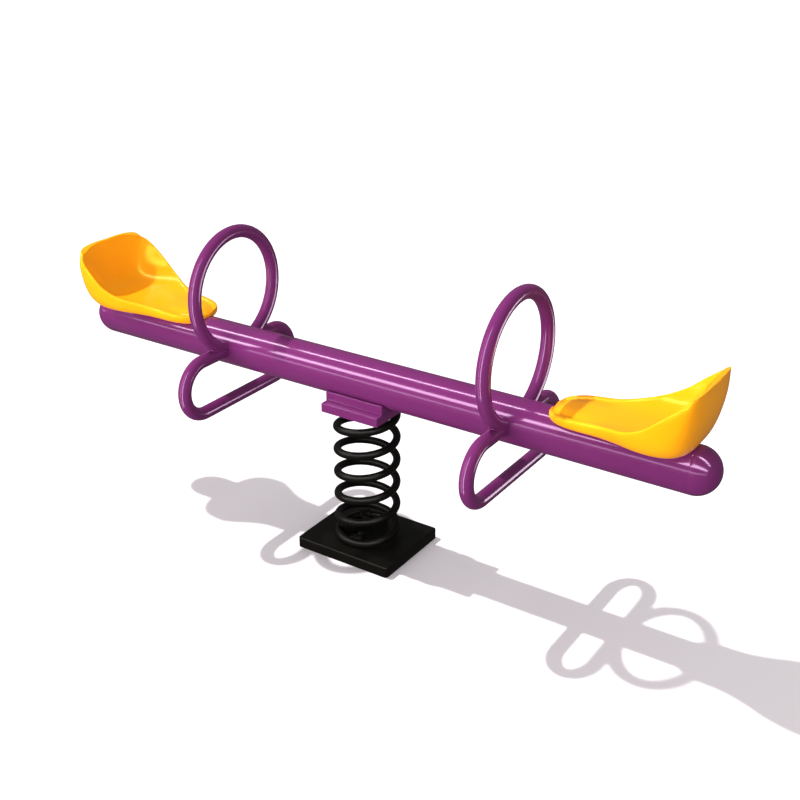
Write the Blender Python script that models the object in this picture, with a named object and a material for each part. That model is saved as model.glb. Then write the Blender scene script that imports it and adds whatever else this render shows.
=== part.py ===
"""Two-seat seesaw on one coil spring.

Frame: metres, +Z up, the origin on the ground under the middle of the base.
The beam runs along X, and the footrests and handle rings reach out along Y.
Every size follows from the driving dimensions below.
"""
import math

import bmesh
import bpy
from mathutils import Vector

# Clearance kept between faces that touch.
GAP = 0.0003

# Base: a pressed pan over a ground plate and a spacer disc.
BASE_LENGTH = 0.350
BASE_WIDTH = 0.300
BASE_HEIGHT = 0.035
BASE_CORNER_RADIUS = 0.012
BASE_EDGE_RADIUS = 0.004
BASE_EDGE_ANGLES = (90.0, 45.0, 0.0)
BASE_WALL = 0.004
GROUND_PLATE_MARGIN = 0.003
GROUND_PLATE_THICKNESS = 0.008
GROUND_PLATE_CORNER_RADIUS = 0.010
ANCHOR_HOLE_RADIUS = 0.009
ANCHOR_SPACING = (0.270, 0.220)
SPACER_RADIUS = 0.116
SPACER_BORE_RADIUS = 0.028

# Coil spring: right-handed, with a flat dead coil at each end.
WIRE_RADIUS = 0.0125
COIL_RADIUS = 0.095
COIL_PITCH = 0.080
LOWER_DEAD_COIL_ANGLE = 219.0
UPPER_DEAD_COIL_ANGLE = 140.0
FIRST_RISE_ANGLE = 303.0
COIL_STEPS_PER_TURN = 20
WIRE_SIDES = 8

# Heights of the two axes that stand for the spring's bending.
SWAY_AXIS_HEIGHT = 0.125
ROCK_AXIS_HEIGHT = 0.315

# Claws that grip the dead coils from inside, and their bolts.
LOWER_CLAW_ANGLES = (130.0, 205.0, 280.0)
UPPER_CLAW_ANGLES = (76.0, 128.0, 180.0)
CLAW_SPAN = 24.0
CLAW_STEPS = 4
CLAW_INNER_RADIUS = 0.036
CLAW_HEIGHT = 0.022
CLAW_LIP_HEIGHT = 0.034
CLAW_LIP_START_RADIUS = 0.0775
CLAW_SHOULDER_RADIUS = 0.066
CLAW_CLEARANCE = 0.0018
CLAW_GRIP_ANGLES = (230.0, 205.0, 180.0, 155.0, 130.0, 105.0, 85.0)
CLAW_BOLT_CIRCLE = 0.054
CLAW_BOLT_RADIUS = 0.006
CLAW_BOLT_HEAD = (0.0110, 0.008)
CLAW_BOLT_GRIP = 0.0334
CLAW_TAPPED_DEPTH = 0.022

# Beam and the bracket under it.
AXIS_HEIGHT = 0.585
BEAM_RADIUS = 0.070
BEAM_WALL = 0.005
BEAM_HALF_LENGTH = 1.137
BEAM_SIDES = 36
BEAM_CAP_WALL = 0.004
BEAM_CAP_STEPS = 6
BEAM_CAP_POLE_ANGLE = 3.0
BRACKET_LENGTH = 0.210
BRACKET_WIDTH = 0.196
BRACKET_THICKNESS = 0.029
BRACKET_CORNER_RADIUS = 0.003
BRACKET_EDGE = 0.0015
RAIL_HALF_WIDTH = 0.071
RAIL_INNER = 0.022
RAIL_HEIGHT = 0.031
CRADLE_STEPS = 6

# Handle rings and footrests, bent from one size of tube.
TUBE_RADIUS = 0.0215
TUBE_WALL = 0.003
TUBE_SIDES = 12
TUBE_END_REACH = 0.042
FRAME_X = 0.518
RING_RADIUS = 0.192
RING_STEPS = 32
FOOT_DROP = 0.179
FOOT_BEND_CENTRE = 0.177
FOOT_BEND_STEPS = 8

# Seats: knots along each line from the nose, u = 0, to the top of the back, u = 1.
# A rim knot is (u, reach, half width, height, wall); the others are (u, reach, height).
SEAT_RIM = ((0.00, 0.649, 0.036, 0.664, 0.024), (0.06, 0.658, 0.064, 0.667, 0.028),
            (0.13, 0.684, 0.086, 0.670, 0.030), (0.22, 0.720, 0.098, 0.673, 0.030),
            (0.40, 0.795, 0.104, 0.680, 0.026), (0.52, 0.852, 0.121, 0.690, 0.020),
            (0.64, 0.910, 0.147, 0.705, 0.015), (0.75, 0.965, 0.163, 0.733, 0.012),
            (0.86, 1.015, 0.165, 0.775, 0.012), (0.95, 1.055, 0.156, 0.813, 0.012),
            (1.00, 1.071, 0.137, 0.830, 0.012))
SEAT_FLOOR = ((0.00, 0.654, 0.670), (0.10, 0.680, 0.681), (0.25, 0.735, 0.683),
              (0.45, 0.840, 0.679), (0.62, 0.930, 0.677), (0.75, 1.000, 0.685),
              (0.85, 1.045, 0.713), (0.93, 1.069, 0.776), (1.00, 1.083, 0.849))
SEAT_HULL = ((0.00, 0.649, 0.646), (0.06, 0.660, 0.639), (0.15, 0.700, 0.635),
             (0.62, 0.930, 0.635), (0.78, 1.030, 0.640), (0.86, 1.073, 0.671),
             (0.93, 1.094, 0.750), (1.00, 1.098, 0.849))
SEAT_RIM_ROLL = 0.006
SEAT_FLOOR_POWER = 3.2
SEAT_HULL_POWER = 2.8
SEAT_STATIONS = 18
SEAT_FLOOR_STEPS = 4
SEAT_HULL_STEPS = 5
SEAT_NOSE_ROUNDING = 0.012
SEAT_TOP_ROUNDING = 0.003
SLOPE_STEP = 0.01

# Plate that carries each seat, and the bolts up into the seat.
SEAT_PLATE_CENTRE = 0.940
SEAT_PLATE_LENGTH = 0.120
SEAT_PLATE_HALF_WIDTH = 0.088
SEAT_PLATE_THICKNESS = 0.006
SEAT_PLATE_CORNER_RADIUS = 0.006
SEAT_POCKET_CLEARANCE = 0.0015
SEAT_BOLT_SPACING = (0.070, 0.156)
SEAT_BOLT_RADIUS = 0.004
SEAT_BOLT_HEAD = (0.0072, 0.0055)
SEAT_BOLT_HOLE_DEPTH = 0.018

# Hexagon-head bolts and round holes.
BOLT_SIDES = 12
BOLT_END_CLEARANCE = 0.002
BOLT_HEAD_CHAMFER = (0.90, 0.82)
HOLE_SIDES = 16

# Heights worked out from the sizes above.
BEAM_BOTTOM = AXIS_HEIGHT - BEAM_RADIUS
BEAM_TOP = AXIS_HEIGHT + BEAM_RADIUS
BRACKET_TOP = BEAM_BOTTOM - GAP
BRACKET_BOTTOM = BRACKET_TOP - BRACKET_THICKNESS
LOWER_COIL_HEIGHT = BASE_HEIGHT + GAP + WIRE_RADIUS
UPPER_COIL_HEIGHT = BRACKET_BOTTOM - GAP - WIRE_RADIUS
BEAM_END_CENTRE = BEAM_HALF_LENGTH - BEAM_RADIUS
SEAT_PLATE_BOTTOM = BEAM_TOP + GAP
SEAT_PLATE_TOP = SEAT_PLATE_BOTTOM + SEAT_PLATE_THICKNESS


def clear_scene():
    for item in list(bpy.data.objects):
        bpy.data.objects.remove(item, do_unlink=True)


def make_material(name, colour, roughness, metallic=0.0, coat=0.0):
    material = bpy.data.materials.new(name)
    material.use_nodes = True
    shader = material.node_tree.nodes["Principled BSDF"]
    shader.inputs["Base Color"].default_value = (*colour, 1.0)
    shader.inputs["Roughness"].default_value = roughness
    shader.inputs["Metallic"].default_value = metallic
    shader.inputs["Coat Weight"].default_value = coat
    return material


def make_materials():
    return {
        "purple": make_material("purple_powder_coat", (0.26, 0.045, 0.22), 0.28, 0.0, 0.4),
        "black": make_material("black_powder_coat", (0.012, 0.010, 0.009), 0.35),
        "yellow": make_material("yellow_plastic", (0.98, 0.60, 0.03), 0.22, 0.0, 0.3),
        "zinc": make_material("zinc_plated_steel", (0.62, 0.62, 0.60), 0.38, 1.0),
        "steel": make_material("galvanised_steel", (0.45, 0.46, 0.47), 0.50, 1.0),
    }


# Outlines ------------------------------------------------------------------------------------


def polar(radius, angle_degrees):
    angle = math.radians(angle_degrees)
    return radius * math.cos(angle), radius * math.sin(angle)


def circle(radius, sides):
    """Corners of a regular polygon round the origin, as (a, b) pairs."""
    return [polar(radius, 360.0 * index / sides) for index in range(sides)]


def arc(centre, radius, start, end, steps):
    points = []
    for step in range(steps + 1):
        a, b = polar(radius, start + (end - start) * step / steps)
        points.append((centre[0] + a, centre[1] + b))
    return points


def rounded_rectangle(length, width, radius, steps=3):
    """Outline of a rectangle with round corners, anticlockwise."""
    points = []
    for quarter, (side_x, side_y) in enumerate(((1, 1), (-1, 1), (-1, -1), (1, -1))):
        centre = (side_x * (length / 2 - radius), side_y * (width / 2 - radius))
        points += arc(centre, radius, 90.0 * quarter, 90.0 * (quarter + 1), steps)
    return points


def spline(knots, u):
    """Smooth value at u through knots (u, a, b, ...), with finite-difference slopes."""
    last = len(knots) - 1

    def slope(index):
        low, high = max(index - 1, 0), min(index + 1, last)
        run = knots[high][0] - knots[low][0]
        return [(b - a) / run for a, b in zip(knots[low][1:], knots[high][1:])]

    index = max(i for i in range(last) if knots[i][0] <= u or i == 0)
    start, end = knots[index], knots[index + 1]
    span = end[0] - start[0]
    t = (u - start[0]) / span
    weights = (2 * t ** 3 - 3 * t ** 2 + 1, (t ** 3 - 2 * t ** 2 + t) * span,
               3 * t ** 2 - 2 * t ** 3, (t ** 3 - t ** 2) * span)
    parts = zip(start[1:], slope(index), end[1:], slope(index + 1))
    return [sum(weight * value for weight, value in zip(weights, part)) for part in parts]


# Meshes and objects --------------------------------------------------------------------------


def loft(rings, looped=False):
    """Skin closed rings of equally many points, capped at both ends or joined end to end."""
    mesh_edit = bmesh.new()
    grid = [[mesh_edit.verts.new(point) for point in ring] for ring in rings]
    pairs = list(zip(grid, grid[1:]))
    if looped:
        pairs.append((grid[-1], grid[0]))
    else:
        mesh_edit.faces.new(list(reversed(grid[0])))
        mesh_edit.faces.new(grid[-1])
    for ring, after in pairs:
        for index in range(len(ring)):
            following = (index + 1) % len(ring)
            mesh_edit.faces.new((ring[index], ring[following], after[following], after[index]))
    return mesh_edit


def upright_rings(outline, heights):
    return [[(x, y, height) for x, y in outline] for height in heights]


def turned_ring(inner, outer, low, high):
    walls = ((outer, low), (outer, high), (inner, high), (inner, low))
    rings = [[(x, y, height) for x, y in circle(radius, 2 * HOLE_SIDES)] for radius, height in walls]
    return loft(rings, looped=True)


def upright_cylinders(places, radius, low, high):
    """One mesh of several upright cylinders, for a cutter that makes several holes."""
    joined = bmesh.new()
    for x, y in places:
        outline = [(x + a, y + b) for a, b in circle(radius, HOLE_SIDES)]
        part = loft(upright_rings(outline, (low, high)))
        mesh = bpy.data.meshes.new("cylinder")
        part.to_mesh(mesh)
        part.free()
        joined.from_mesh(mesh)
        bpy.data.meshes.remove(mesh)
    return joined


def add_object(name, mesh_edit, material, smooth_angle=35.0):
    """Turn an edited mesh into a named, shaded object."""
    bmesh.ops.recalc_face_normals(mesh_edit, faces=mesh_edit.faces)
    mesh = bpy.data.meshes.new(name)
    mesh_edit.to_mesh(mesh)
    mesh_edit.free()
    mesh.shade_smooth()
    mesh.set_sharp_from_angle(angle=math.radians(smooth_angle))
    if material:
        mesh.materials.append(material)
    item = bpy.data.objects.new(name, mesh)
    bpy.context.scene.collection.objects.link(item)
    return item


def make_cutter(name, mesh_edit):
    cutter = add_object(name, mesh_edit, None)
    cutter.hide_render = True
    cutter.display_type = "WIRE"
    return cutter


def cut(item, *cutters):
    for cutter in cutters:
        modifier = item.modifiers.new(cutter.name, "BOOLEAN")
        modifier.operation = "DIFFERENCE"
        modifier.solver = "EXACT"
        modifier.object = cutter


def make_pivot(name, height, items):
    """Empty on a joint's axis, which carries the items without moving them."""
    pivot = bpy.data.objects.new(name, None)
    pivot.location.z = height
    bpy.context.scene.collection.objects.link(pivot)
    for item in items:
        item.parent = pivot
        item.location.z -= height
    return pivot


# Base ----------------------------------------------------------------------------------------


def make_base(materials):
    """Pan, ground plate and spacer disc. Returns the cutter of the claw bolts' holes."""
    bolt_places = [polar(CLAW_BOLT_CIRCLE, angle) for angle in LOWER_CLAW_ANGLES]
    bolt_holes = make_cutter("lower_bolt_holes", upright_cylinders(
        bolt_places, CLAW_BOLT_RADIUS + 2 * GAP, -BASE_HEIGHT, 3 * BASE_HEIGHT))

    def pan_ring(inset, height):
        outline = rounded_rectangle(BASE_LENGTH - 2 * inset, BASE_WIDTH - 2 * inset,
                                    BASE_CORNER_RADIUS - inset)
        return [(x, y, height) for x, y in outline]

    outside = []
    for angle in BASE_EDGE_ANGLES:
        inset, drop = (BASE_EDGE_RADIUS - part for part in polar(BASE_EDGE_RADIUS, angle))
        outside.append(pan_ring(inset, BASE_HEIGHT - drop))
    skirt = [pan_ring(0.0, 0.0), pan_ring(BASE_WALL, 0.0), pan_ring(BASE_WALL, BASE_HEIGHT - BASE_WALL)]
    cover = add_object("base_cover", loft(outside + skirt), materials["black"])

    margin = BASE_WALL + GROUND_PLATE_MARGIN
    plate_outline = rounded_rectangle(BASE_LENGTH - 2 * margin, BASE_WIDTH - 2 * margin,
                                      GROUND_PLATE_CORNER_RADIUS)
    plate_mesh = loft(upright_rings(plate_outline, (0.0, GROUND_PLATE_THICKNESS)))
    plate = add_object("ground_plate", plate_mesh, materials["steel"])
    anchor_places = [(x * ANCHOR_SPACING[0] / 2, y * ANCHOR_SPACING[1] / 2)
                     for x in (-1, 1) for y in (-1, 1)]
    anchor_holes = make_cutter("anchor_holes", upright_cylinders(
        anchor_places, ANCHOR_HOLE_RADIUS, -BASE_HEIGHT, BASE_HEIGHT))
    cut(plate, anchor_holes)

    spacer_mesh = turned_ring(SPACER_BORE_RADIUS, SPACER_RADIUS, GROUND_PLATE_THICKNESS + GAP,
                              BASE_HEIGHT - BASE_WALL - GAP)
    spacer = add_object("spacer_disc", spacer_mesh, materials["steel"])
    for item in (cover, plate, spacer):
        cut(item, bolt_holes)
    return bolt_holes


# Spring and its claws ------------------------------------------------------------------------


def make_spring(materials):
    rise_end = (UPPER_COIL_HEIGHT - LOWER_COIL_HEIGHT) / COIL_PITCH * 360.0
    total = LOWER_DEAD_COIL_ANGLE + rise_end + UPPER_DEAD_COIL_ANGLE
    steps = round(total / 360.0 * COIL_STEPS_PER_TURN)
    slope = COIL_PITCH / (math.tau * COIL_RADIUS)
    rings = []
    for step in range(steps + 1):
        angle = total * step / steps - LOWER_DEAD_COIL_ANGLE
        risen = min(max(angle, 0.0), rise_end)
        turn = math.radians(angle + FIRST_RISE_ANGLE)
        outward = Vector((math.cos(turn), math.sin(turn), 0.0))
        rising = 0.0 < angle < rise_end
        along = Vector((-math.sin(turn), math.cos(turn), slope if rising else 0.0)).normalized()
        upward = outward.cross(along)
        centre = outward * COIL_RADIUS
        centre.z = LOWER_COIL_HEIGHT + COIL_PITCH * risen / 360.0
        rings.append([centre + outward * a + upward * b for a, b in circle(WIRE_RADIUS, WIRE_SIDES)])
    return add_object("spring", loft(rings), materials["black"], 60.0)


def claw_outline():
    """Radius and height of a claw's section, standing on the face that carries it."""
    centre = (COIL_RADIUS, WIRE_RADIUS + GAP)
    grip = []
    for angle in CLAW_GRIP_ANGLES:
        offset = polar(WIRE_RADIUS + CLAW_CLEARANCE, angle)
        grip.append((centre[0] + offset[0], centre[1] + offset[1]))
    foot = [(CLAW_INNER_RADIUS, GAP), (grip[0][0] - GAP, GAP)]
    lip = [(grip[-1][0], CLAW_LIP_HEIGHT), (CLAW_LIP_START_RADIUS, CLAW_LIP_HEIGHT)]
    shoulder = [(CLAW_SHOULDER_RADIUS, CLAW_HEIGHT), (CLAW_INNER_RADIUS, CLAW_HEIGHT)]
    return foot + grip + lip + shoulder


def make_claw(name, middle_angle, face_height, upward, material):
    rings = []
    for step in range(CLAW_STEPS + 1):
        angle = middle_angle + CLAW_SPAN * (step / CLAW_STEPS - 0.5)
        rings.append([(*polar(radius, angle), face_height + upward * height)
                      for radius, height in claw_outline()])
    return add_object(name, loft(rings), material)


def make_bolt(name, middle, face_height, upward, head, shank_radius, shank_end, material):
    """Hexagon-head bolt: the head stands out from face_height, the shank runs to shank_end."""
    head_radius, head_height = head
    narrow, high = BOLT_HEAD_CHAMFER
    seat = face_height + upward * GAP
    head_levels = ((head_radius * narrow, face_height + upward * head_height),
                   (head_radius, face_height + upward * head_height * high), (head_radius, seat))
    flat = math.cos(math.radians(30.0))
    rings = []
    for radius, height in head_levels:
        outline = circle(radius, BOLT_SIDES)
        hexagon = [(a, b) if index % 2 == 0 else (a * flat, b * flat)
                   for index, (a, b) in enumerate(outline)]
        rings.append([(middle[0] + a, middle[1] + b, height) for a, b in hexagon])
    for height in (seat, shank_end):
        rings.append([(middle[0] + a, middle[1] + b, height) for a, b in circle(shank_radius, BOLT_SIDES)])
    return add_object(name, loft(rings), material, 25.0)


def make_claws(level, angles, face_height, upward, bolt_holes, material):
    """Claws that stand on a face, or hang from it where upward is -1, each with its bolt."""
    made = []
    shank_end = face_height - upward * (CLAW_BOLT_GRIP if upward > 0 else
                                        CLAW_TAPPED_DEPTH - BOLT_END_CLEARANCE)
    for number, angle in enumerate(angles, 1):
        claw = make_claw(f"{level}_claw_{number}", angle, face_height, upward, material)
        cut(claw, bolt_holes)
        bolt = make_bolt(f"{level}_claw_bolt_{number}", polar(CLAW_BOLT_CIRCLE, angle),
                         face_height + upward * CLAW_HEIGHT, upward, CLAW_BOLT_HEAD,
                         CLAW_BOLT_RADIUS, shank_end, material)
        made += [claw, bolt]
    return made


# Beam and bracket ----------------------------------------------------------------------------


def make_bracket(materials):
    """Thick plate with tapped holes, two rails that cradle the beam, and the upper claws."""
    bolt_places = [polar(CLAW_BOLT_CIRCLE, angle) for angle in UPPER_CLAW_ANGLES]
    bolt_holes = make_cutter("upper_bolt_holes", upright_cylinders(
        bolt_places, CLAW_BOLT_RADIUS + 2 * GAP, BRACKET_BOTTOM - 3 * CLAW_HEIGHT,
        BRACKET_BOTTOM + CLAW_TAPPED_DEPTH))
    claws = make_claws("upper", UPPER_CLAW_ANGLES, BRACKET_BOTTOM, -1, bolt_holes, materials["black"])

    wide = rounded_rectangle(BRACKET_LENGTH, BRACKET_WIDTH, BRACKET_CORNER_RADIUS, 2)
    narrow = rounded_rectangle(BRACKET_LENGTH - 2 * BRACKET_EDGE, BRACKET_WIDTH - 2 * BRACKET_EDGE,
                               BRACKET_CORNER_RADIUS - BRACKET_EDGE, 2)
    levels = ((narrow, BRACKET_BOTTOM), (wide, BRACKET_BOTTOM + BRACKET_EDGE),
              (wide, BRACKET_TOP - BRACKET_EDGE), (narrow, BRACKET_TOP))
    rings = [[(x, y, height) for x, y in outline] for outline, height in levels]
    plate = add_object("bracket_plate", loft(rings), materials["purple"])
    cut(plate, bolt_holes)

    low = BRACKET_TOP + GAP
    high = BRACKET_TOP + RAIL_HEIGHT
    cradle = BEAM_RADIUS + GAP
    inner_angle = math.degrees(math.asin(RAIL_INNER / cradle))
    outer_angle = math.degrees(math.acos((AXIS_HEIGHT - high) / cradle))
    section = [(RAIL_INNER, low), (RAIL_HALF_WIDTH, low), (RAIL_HALF_WIDTH, high)]
    section += arc((0.0, AXIS_HEIGHT), cradle, outer_angle - 90.0, inner_angle - 90.0, CRADLE_STEPS)
    rails = []
    for word, side in (("near", -1), ("far", 1)):
        rings = [[(x, side * y, z) for y, z in section] for x in (-BRACKET_LENGTH / 2, BRACKET_LENGTH / 2)]
        rails.append(add_object(f"saddle_rail_{word}", loft(rings), materials["purple"]))
    return claws + [bolt_holes, plate] + rails


def beam_ring(radius, x):
    return [(x, y, AXIS_HEIGHT + z) for y, z in circle(radius, BEAM_SIDES)]


def make_beam(materials):
    """Tube cut square at both ends, and a pressed half-round cap on each end."""
    inner = BEAM_RADIUS - BEAM_WALL
    end = BEAM_END_CENTRE - GAP
    walls = ((BEAM_RADIUS, -end), (BEAM_RADIUS, end), (inner, end), (inner, -end))
    tube_mesh = loft([beam_ring(radius, x) for radius, x in walls], looped=True)
    made = [add_object("beam_tube", tube_mesh, materials["purple"])]

    def cap_ring(radius, side, angle):
        reach, ring_radius = polar(radius, angle)
        return beam_ring(ring_radius, side * (BEAM_END_CENTRE + reach))

    angles = [90.0 * (1 - step / BEAM_CAP_STEPS) for step in range(BEAM_CAP_STEPS)]
    angles.append(BEAM_CAP_POLE_ANGLE)
    for word, side in (("left", -1), ("right", 1)):
        outside = [cap_ring(BEAM_RADIUS, side, angle) for angle in reversed(angles)]
        inside = [cap_ring(BEAM_RADIUS - BEAM_CAP_WALL, side, angle) for angle in angles]
        made.append(add_object(f"beam_cap_{word}", loft(outside + inside), materials["purple"]))
    return made


# Bent tubes ----------------------------------------------------------------------------------


def bent_tube(x, path):
    """Hollow tube along a path of (y, z) points in the upright plane at x."""
    sideways = Vector((1.0, 0.0, 0.0))

    def tube_rings(radius):
        rings = []
        for index, (y, z) in enumerate(path):
            before, after = path[max(index - 1, 0)], path[min(index + 1, len(path) - 1)]
            along = Vector((0.0, after[0] - before[0], after[1] - before[1])).normalized()
            across = sideways.cross(along)
            centre = Vector((x, y, z))
            rings.append([centre + sideways * a + across * b for a, b in circle(radius, TUBE_SIDES)])
        return rings

    outside, inside = tube_rings(TUBE_RADIUS), tube_rings(TUBE_RADIUS - TUBE_WALL)
    return loft(outside + inside[::-1], looped=True)


def make_handles_and_footrests(materials, beam_space):
    """Each ring and footrest ends on the beam, and the ring is notched over the footrest's leg."""
    inside = math.degrees(math.asin(TUBE_END_REACH / RING_RADIUS))
    ring_centre = (0.0, AXIS_HEIGHT + RING_RADIUS)
    ring_path = arc(ring_centre, RING_RADIUS, inside - 90.0, 270.0 - inside, RING_STEPS)
    bend = FOOT_DROP / 2
    foot_path = [(TUBE_END_REACH, AXIS_HEIGHT)]
    foot_path += arc((FOOT_BEND_CENTRE, AXIS_HEIGHT - bend), bend, 90.0, -90.0, FOOT_BEND_STEPS)
    foot_path += arc((-FOOT_BEND_CENTRE, AXIS_HEIGHT - bend), bend, 270.0, 90.0, FOOT_BEND_STEPS)
    foot_path.append((-TUBE_END_REACH, AXIS_HEIGHT))
    made = []
    for word, side in (("left", -1), ("right", 1)):
        x = side * FRAME_X
        leg_rings = [[(x + a, y, AXIS_HEIGHT + b) for a, b in circle(TUBE_RADIUS + GAP, 2 * TUBE_SIDES)]
                     for y in (-FOOT_BEND_CENTRE, FOOT_BEND_CENTRE)]
        leg_space = make_cutter(f"leg_clearance_{word}", loft(leg_rings))
        handle = add_object(f"handle_ring_{word}", bent_tube(x, ring_path), materials["purple"])
        cut(handle, beam_space, leg_space)
        footrest = add_object(f"footrest_{word}", bent_tube(x, foot_path), materials["purple"])
        cut(footrest, beam_space)
        made += [leg_space, handle, footrest]
    return made


# Seats ---------------------------------------------------------------------------------------


def seat_section(u):
    """Closed section of a seat at station u, as points (reach, y, z) over floor, rim and hull."""
    rim_x, rim_y, rim_z, wall = spline(SEAT_RIM, u)
    floor_x, floor_z = spline(SEAT_FLOOR, u)
    hull_x, hull_z = spline(SEAT_HULL, u)
    ahead = spline(SEAT_RIM, min(u + SLOPE_STEP, 1.0))
    behind = spline(SEAT_RIM, max(u - SLOPE_STEP, 0.0))
    run = Vector((ahead[0] - behind[0], ahead[2] - behind[2])).normalized()
    half = []
    for step in range(SEAT_FLOOR_STEPS + 1):
        v = math.sin(math.radians(90.0 * step / SEAT_FLOOR_STEPS))
        rise = v ** SEAT_FLOOR_POWER
        half.append((floor_x + (rim_x - floor_x) * rise, v * (rim_y - wall),
                     floor_z + (rim_z - floor_z) * rise))
    half.append((rim_x - run.y * SEAT_RIM_ROLL, rim_y - wall / 2, rim_z + run.x * SEAT_RIM_ROLL))
    for step in range(SEAT_HULL_STEPS + 1):
        angle = math.radians(90.0 * step / SEAT_HULL_STEPS)
        v = math.cos(angle) ** (2 / SEAT_HULL_POWER) if step < SEAT_HULL_STEPS else 0.0
        rise = 1.0 - math.sin(angle) ** (2 / SEAT_HULL_POWER)
        half.append((hull_x + (rim_x - hull_x) * rise, v * rim_y, hull_z + (rim_z - hull_z) * rise))
    other_half = [(x, -y, z) for x, y, z in reversed(half[1:-1])]
    return half + other_half


def drawn_in(section, amount, push_x, push_z):
    """A section drawn in towards its middle and pushed along, to round off an end."""
    middle = sum((Vector(point) for point in section), Vector()) / len(section)
    ring = []
    for point in section:
        inward = middle - Vector(point)
        step = min(amount, inward.length / 2)
        ring.append(tuple(Vector(point) + inward.normalized() * step + Vector((push_x, 0.0, push_z))))
    return ring


def seat_sections():
    stations = [seat_section(index / SEAT_STATIONS) for index in range(SEAT_STATIONS + 1)]
    nose = drawn_in(stations[0], SEAT_NOSE_ROUNDING, -SEAT_NOSE_ROUNDING / 2, 0.0)
    top = drawn_in(stations[-1], SEAT_TOP_ROUNDING, 0.0, SEAT_TOP_ROUNDING)
    return [nose] + stations + [top]


def make_seats(materials, beam_space):
    """Each seat sits over the beam, on a plate, held by bolts that come up beside the beam."""
    made = []
    sections = seat_sections()
    for word, side in (("left", -1), ("right", 1)):
        centre = side * SEAT_PLATE_CENTRE
        corners = ((-1, -1), (1, -1), (1, 1), (-1, 1))
        pocket_x = SEAT_PLATE_LENGTH / 2 + SEAT_POCKET_CLEARANCE
        pocket_y = SEAT_PLATE_HALF_WIDTH + SEAT_POCKET_CLEARANCE
        pocket_outline = [(centre + a * pocket_x, b * pocket_y) for a, b in corners]
        pocket = make_cutter(f"seat_pocket_{word}", loft(upright_rings(
            pocket_outline, (AXIS_HEIGHT, SEAT_PLATE_TOP + GAP))))
        bolt_places = [(centre + a * SEAT_BOLT_SPACING[0] / 2, b * SEAT_BOLT_SPACING[1] / 2)
                       for a, b in corners]
        bolt_holes = make_cutter(f"seat_bolt_holes_{word}", upright_cylinders(
            bolt_places, SEAT_BOLT_RADIUS + GAP, AXIS_HEIGHT, SEAT_PLATE_TOP + SEAT_BOLT_HOLE_DEPTH))
        seat_mesh = loft([[(side * x, y, z) for x, y, z in ring] for ring in sections])
        seat = add_object(f"seat_{word}", seat_mesh, materials["yellow"], 50.0)
        cut(seat, beam_space, pocket, bolt_holes)

        plate_outline = [(centre + x, y) for x, y in rounded_rectangle(
            SEAT_PLATE_LENGTH, 2 * SEAT_PLATE_HALF_WIDTH, SEAT_PLATE_CORNER_RADIUS, 2)]
        plate_mesh = loft(upright_rings(plate_outline, (SEAT_PLATE_BOTTOM, SEAT_PLATE_TOP)))
        plate = add_object(f"seat_plate_{word}", plate_mesh, materials["purple"])
        cut(plate, bolt_holes)
        made += [pocket, bolt_holes, seat, plate]
        shank_end = SEAT_PLATE_TOP + SEAT_BOLT_HOLE_DEPTH - BOLT_END_CLEARANCE
        for number, bolt_place in enumerate(bolt_places, 1):
            made.append(make_bolt(f"seat_bolt_{word}_{number}", bolt_place, SEAT_PLATE_BOTTOM, -1,
                                  SEAT_BOLT_HEAD, SEAT_BOLT_RADIUS, shank_end, materials["zinc"]))
    return made


def main():
    clear_scene()
    materials = make_materials()
    lower_bolt_holes = make_base(materials)
    make_claws("lower", LOWER_CLAW_ANGLES, BASE_HEIGHT, 1, lower_bolt_holes, materials["black"])
    spring = make_spring(materials)
    beam_space = make_cutter("beam_clearance", loft(
        [beam_ring(BEAM_RADIUS + GAP, x) for x in (-BEAM_HALF_LENGTH, BEAM_HALF_LENGTH)]))
    rocking = [beam_space] + make_bracket(materials) + make_beam(materials)
    rocking += make_handles_and_footrests(materials, beam_space)
    rocking += make_seats(materials, beam_space)
    rock_pivot = make_pivot("rock_pivot", ROCK_AXIS_HEIGHT, rocking)
    make_pivot("sway_pivot", SWAY_AXIS_HEIGHT, [spring, rock_pivot])


main()
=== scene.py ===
"""Looks of the two-seat spring seesaw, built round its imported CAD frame."""
import math

import bmesh
import bpy
from mathutils import Matrix, Vector


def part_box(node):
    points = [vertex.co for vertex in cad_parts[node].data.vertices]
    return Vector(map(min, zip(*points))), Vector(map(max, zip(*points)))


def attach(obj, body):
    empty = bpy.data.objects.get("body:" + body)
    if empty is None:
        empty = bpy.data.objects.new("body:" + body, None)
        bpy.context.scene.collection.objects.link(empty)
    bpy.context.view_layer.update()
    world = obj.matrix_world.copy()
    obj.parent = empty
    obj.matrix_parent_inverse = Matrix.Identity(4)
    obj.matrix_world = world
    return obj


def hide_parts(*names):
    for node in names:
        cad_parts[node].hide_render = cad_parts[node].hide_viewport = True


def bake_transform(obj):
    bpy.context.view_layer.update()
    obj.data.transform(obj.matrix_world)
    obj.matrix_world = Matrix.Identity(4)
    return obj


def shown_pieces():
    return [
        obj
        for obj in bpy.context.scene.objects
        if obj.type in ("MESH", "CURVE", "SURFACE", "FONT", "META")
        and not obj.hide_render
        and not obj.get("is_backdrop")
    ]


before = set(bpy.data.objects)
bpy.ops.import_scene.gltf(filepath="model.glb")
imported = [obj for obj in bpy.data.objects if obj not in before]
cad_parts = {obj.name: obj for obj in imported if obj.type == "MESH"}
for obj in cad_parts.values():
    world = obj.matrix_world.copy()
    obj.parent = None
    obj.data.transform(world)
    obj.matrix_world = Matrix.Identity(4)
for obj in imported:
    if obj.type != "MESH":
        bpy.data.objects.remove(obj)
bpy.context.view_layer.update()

# Sizes that repeat part.py, in metres, and angles in degrees. The object's other sizes are
# measured on the CAD nodes.
WIRE_RADIUS = 0.0125
COIL_RADIUS = 0.095
COIL_PITCH = 0.080
LOWER_DEAD_COIL_ANGLE = 219.0
UPPER_DEAD_COIL_ANGLE = 140.0
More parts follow.
